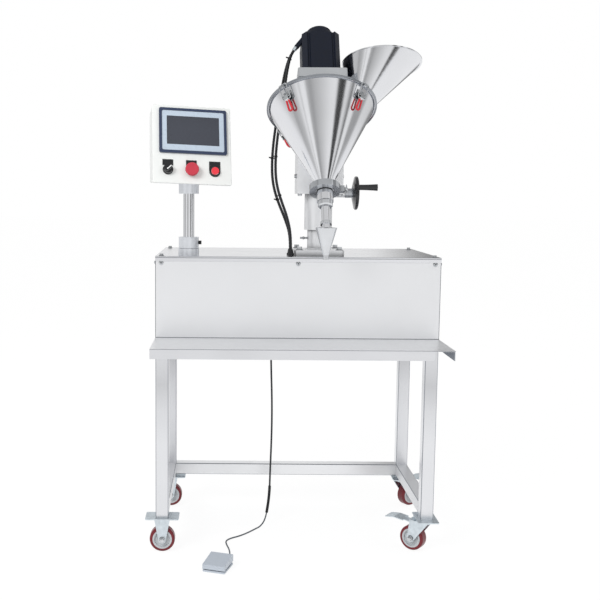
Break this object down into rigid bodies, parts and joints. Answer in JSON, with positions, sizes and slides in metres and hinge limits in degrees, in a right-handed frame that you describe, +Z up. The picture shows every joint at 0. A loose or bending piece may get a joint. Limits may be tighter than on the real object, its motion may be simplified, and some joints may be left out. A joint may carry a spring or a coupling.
{
  "type": "auger powder filler",
  "caption": "Semi-automatic auger powder filler: leaning conical hopper with motor and feed funnel on a lift column, drive cabinet, swivel control panel, castored stand, foot switch.",
  "frame": {"origin": "on the floor, straight below the middle of the table top", "axes": "+Z up, +X to the operator's right, -Y towards the operator, who stands in front of the filling ledge"},
  "size_m": [0.9466, 0.7243, 1.5564],
  "materials": {
    "satin stainless sheet": "fine-brushed",
    "polished stainless": "polished",
    "turned stainless": "turned",
    "zinc-plated steel": "bright zinc",
    "red castor": "moulded, satin",
    "off-white panel paint": "fine-textured powder coat",
    "navy bezel": "moulded, satin",
    "display": "glossy",
    "black plastic": "moulded",
    "red plastic": "moulded, glossy",
    "motor enamel": "satin enamel",
    "machined aluminium": "machined",
    "pedal casting": "cast, painted grey",
    "black cable": "matt",
    "grey cable": "matt",
    "electrical gear": "plain"
  },
  "bodies": {
    "machine": {"table_legs": "satin stainless sheet", "frame_rails": "satin stainless sheet", "table_top": "satin stainless sheet", "castor_mounts": "zinc-plated steel", "cabinet_body": "satin stainless sheet", "cabinet_front": "satin stainless sheet", "cabinet_lid": "satin stainless sheet", "control_gear": "electrical gear", "pole_socket": "turned stainless", "column_base": "turned stainless", "column_bolts": "turned stainless", "cable_glands": "black plastic", "foot_base": "pedal casting", "motor_power_cable": "black cable", "motor_signal_cable": "black cable", "hanging_lead": "black cable", "lead_splice": "black cable", "pedal_lead": "grey cable"},
    "front_left_roller": {"front_left_wheel": "red castor"},
    "rear_left_roller": {"rear_left_wheel": "red castor"},
    "front_right_swivel": {"front_right_fork": "zinc-plated steel"},
    "rear_right_swivel": {"rear_right_fork": "zinc-plated steel"},
    "front_right_roller": {"front_right_wheel": "red castor"},
    "rear_right_roller": {"rear_right_wheel": "red castor"},
    "front_right_pedal": {"front_right_brake": "zinc-plated steel"},
    "rear_right_pedal": {"rear_right_brake": "zinc-plated steel"},
    "panel": {"panel_pole": "turned stainless", "panel_box": "off-white panel paint", "screen_bezel": "navy bezel", "screen_glass": "display", "switch_surrounds": "black plastic"},
    "pole_lock": {"pole_screw": "black plastic"},
    "selector": {"selector_knob": "black plastic"},
    "estop": {"estop_button": "red plastic"},
    "start": {"start_button": "red plastic"},
    "head": {"lift_sleeve": "turned stainless", "head_bracket": "satin stainless sheet", "hopper": "polished stainless", "hopper_lid": "polished stainless", "feed_funnel": "polished stainless", "motor_mount": "machined aluminium", "motor": "motor enamel", "outlet_clamp": "turned stainless", "nozzle_tube": "turned stainless", "nozzle_nut": "turned stainless", "guide_funnel": "polished stainless", "latch_mounts": "polished stainless"},
    "screw": {"lift_screw": "turned stainless"},
    "wheel": {"handwheel": "black plastic"},
    "grip": {"handwheel_grip": "black plastic"},
    "auger": {"auger_screw": "turned stainless"},
    "treadle": {"foot_treadle": "pedal casting"},
    "rear_right_lever": {"rear_right_latch_lever": "red plastic"},
    "rear_right_bail": {"rear_right_latch_bail": "polished stainless"},
    "rear_left_lever": {"rear_left_latch_lever": "red plastic"},
    "rear_left_bail": {"rear_left_latch_bail": "polished stainless"},
    "front_left_lever": {"front_left_latch_lever": "red plastic"},
    "front_left_bail": {"front_left_latch_bail": "polished stainless"},
    "front_right_lever": {"front_right_latch_lever": "red plastic"},
    "front_right_bail": {"front_right_latch_bail": "polished stainless"}
  },
  "joints": [
    {"name": "front_left_roll", "type": "hinge", "parent": "machine", "child": "front_left_roller", "pos_m": [-0.391, -0.106, 0.0375], "axis": [0, 1, 0], "continuous": true},
    {"name": "rear_left_roll", "type": "hinge", "parent": "machine", "child": "rear_left_roller", "pos_m": [-0.391, 0.311, 0.0375], "axis": [0, 1, 0], "continuous": true},
    {"name": "front_right_swivel_turn", "type": "hinge", "parent": "machine", "child": "front_right_swivel", "pos_m": [0.391, -0.106, 0.095], "axis": [0, 0, 1], "continuous": true},
    {"name": "front_right_roll", "type": "hinge", "parent": "front_right_swivel", "child": "front_right_roller", "pos_m": [0.36065, -0.08313, 0.0375], "axis": [-0.6018, -0.7986, 0], "continuous": true},
    {"name": "front_right_brake_press", "type": "hinge", "parent": "front_right_swivel", "child": "front_right_pedal", "pos_m": [0.37343, -0.09276, 0.083], "axis": [-0.6018, -0.7986, 0], "range_deg": [0, 8]},
    {"name": "rear_right_swivel_turn", "type": "hinge", "parent": "machine", "child": "rear_right_swivel", "pos_m": [0.391, 0.311, 0.095], "axis": [0, 0, 1], "continuous": true},
    {"name": "rear_right_roll", "type": "hinge", "parent": "rear_right_swivel", "child": "rear_right_roller", "pos_m": [0.42323, 0.33114, 0.0375], "axis": [-0.5299, 0.848, 0], "continuous": true},
    {"name": "rear_right_brake_press", "type": "hinge", "parent": "rear_right_swivel", "child": "rear_right_pedal", "pos_m": [0.40966, 0.32266, 0.083], "axis": [-0.5299, 0.848, 0], "range_deg": [0, 8]},
    {"name": "panel_swivel", "type": "hinge", "parent": "machine", "child": "panel", "pos_m": [-0.317, -0.055, 0.919], "axis": [0, 0, 1], "range_deg": [-60, 60]},
    {"name": "pole_lock_turn", "type": "hinge", "parent": "machine", "child": "pole_lock", "pos_m": [-0.317, -0.055, 0.9152], "axis": [1, 0, 0], "range_deg": [0, 180]},
    {"name": "selector_turn", "type": "hinge", "parent": "panel", "child": "selector", "pos_m": [-0.37489, -0.09726, 1.12652], "axis": [0.1977, -0.9303, 0.309], "range_deg": [-45, 45]},
    {"name": "estop_press", "type": "slide", "parent": "panel", "child": "estop", "axis": [-0.1977, 0.9303, -0.309], "range_m": [0, 0.005]},
    {"name": "start_press", "type": "slide", "parent": "panel", "child": "start", "axis": [-0.1977, 0.9303, -0.309], "range_m": [0, 0.003], "stiffness_N_per_m": 800, "springref_m": -0.002},
    {"name": "head_lift", "type": "slide", "parent": "machine", "child": "head", "axis": [0, 0, 1], "range_m": [-0.02, 0.045], "deforming": ["motor_power_cable", "motor_signal_cable"]},
    {"name": "lift_screw_turn", "type": "hinge", "parent": "head", "child": "screw", "pos_m": [0.0665, 0.005, 1.062], "axis": [0, 0, 1], "range_deg": [-1450, 3250]},
    {"name": "handwheel_turn", "type": "hinge", "parent": "head", "child": "wheel", "pos_m": [0.0665, 0.005, 1.062], "axis": [1, 0, 0], "range_deg": [-1450, 3250]},
    {"name": "grip_spin", "type": "hinge", "parent": "wheel", "child": "grip", "pos_m": [0.2095, -0.02329, 1.079], "axis": [1, 0, 0], "continuous": true},
    {"name": "auger_spin", "type": "hinge", "parent": "head", "child": "auger", "pos_m": [0.0665, -0.042, 1.30607], "axis": [0, 0.5, 0.866], "continuous": true},
    {"name": "rear_right_latch_open", "type": "hinge", "parent": "head", "child": "rear_right_lever", "pos_m": [0.17421, 0.029, 1.22815], "axis": [0.682, -0.6334, 0.3657], "range_deg": [0, 95]},
    {"name": "rear_right_bail_swing", "type": "hinge", "parent": "rear_right_lever", "child": "rear_right_bail", "pos_m": [0.17285, 0.02388, 1.22183], "axis": [0.682, -0.6334, 0.3657], "range_deg": [-95, 0]},
    {"name": "rear_left_latch_open", "type": "hinge", "parent": "head", "child": "rear_left_lever", "pos_m": [-0.03394, 0.03529, 1.22452], "axis": [0.7314, 0.5906, -0.341], "range_deg": [0, 95]},
    {"name": "rear_left_bail_swing", "type": "hinge", "parent": "rear_left_lever", "child": "rear_left_bail", "pos_m": [-0.03267, 0.0301, 1.21824], "axis": [0.7314, 0.5906, -0.341], "range_deg": [-95, 0]},
    {"name": "front_left_latch_open", "type": "hinge", "parent": "head", "child": "front_left_lever", "pos_m": [-0.04121, -0.14498, 1.3286], "axis": [-0.682, 0.6334, -0.3657], "range_deg": [0, 95]},
    {"name": "front_left_bail_swing", "type": "hinge", "parent": "front_left_lever", "child": "front_left_bail", "pos_m": [-0.03985, -0.14789, 1.321], "axis": [-0.682, 0.6334, -0.3657], "range_deg": [-95, 0]},
    {"name": "front_right_latch_open", "type": "hinge", "parent": "head", "child": "front_right_lever", "pos_m": [0.16694, -0.15127, 1.33223], "axis": [-0.7314, -0.5906, 0.341], "range_deg": [0, 95]},
    {"name": "front_right_bail_swing", "type": "hinge", "parent": "front_right_lever", "child": "front_right_bail", "pos_m": [0.16567, -0.15411, 1.32459], "axis": [-0.7314, -0.5906, 0.341], "range_deg": [-95, 0]},
    {"name": "treadle_press", "type": "hinge", "parent": "machine", "child": "treadle", "pos_m": [-0.21416, -0.2116, 0.013], "axis": [0.9483, -0.3173, 0], "range_deg": [0, 2], "stiffness_Nm_per_rad": 6, "springref_deg": -6.88}
  ],
  "couplings": [
    {"joint": "lift_screw_turn", "follows": "head_lift", "rad_per_m": 1256.6},
    {"joint": "handwheel_turn", "follows": "head_lift", "rad_per_m": 1256.6},
    {"joint": "rear_right_bail_swing", "follows": "rear_right_latch_open", "ratio": -1},
    {"joint": "rear_left_bail_swing", "follows": "rear_left_latch_open", "ratio": -1},
    {"joint": "front_left_bail_swing", "follows": "front_left_latch_open", "ratio": -1},
    {"joint": "front_right_bail_swing", "follows": "front_right_latch_open", "ratio": -1}
  ]
}
